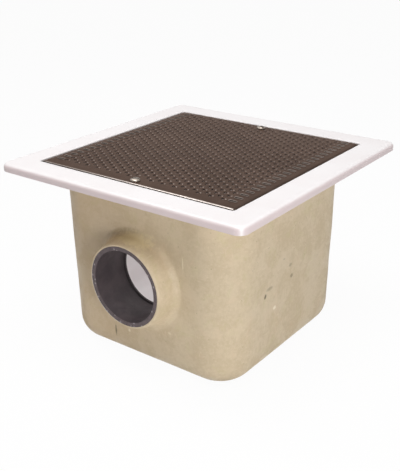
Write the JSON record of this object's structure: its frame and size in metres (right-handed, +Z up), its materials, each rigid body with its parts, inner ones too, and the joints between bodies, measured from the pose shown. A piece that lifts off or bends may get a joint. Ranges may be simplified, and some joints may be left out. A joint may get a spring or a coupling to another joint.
{
  "type": "pool main drain",
  "caption": "Square fibreglass pool main drain with a white flange, a perforated stainless grille and a side socket for 90 mm pipe.",
  "frame": {"origin": "middle of the flat base of the sump", "axes": "+Z up, normal to the flange and the grille; -Y along the outlet, from the sump to the pipe; +X to the right, seen from the outlet"},
  "size_m": [0.355, 0.355, 0.2467],
  "materials": {
    "laminate": "raw glass-fibre laminate outside, white gelcoat on the flange and inside",
    "socket_grey": "moulded PVC-U, satin",
    "stainless": "satin stainless sheet",
    "screw_steel": "turned stainless",
    "brass": "turned brass"
  },
  "bodies": {
    "root": {"sump_body": "laminate", "outlet_socket": "socket_grey", "grille": "stainless", "grille_screw_front": "screw_steel", "grille_screw_back": "screw_steel", "screw_insert_front": "brass", "screw_insert_back": "brass"}
  },
  "joints": []
}
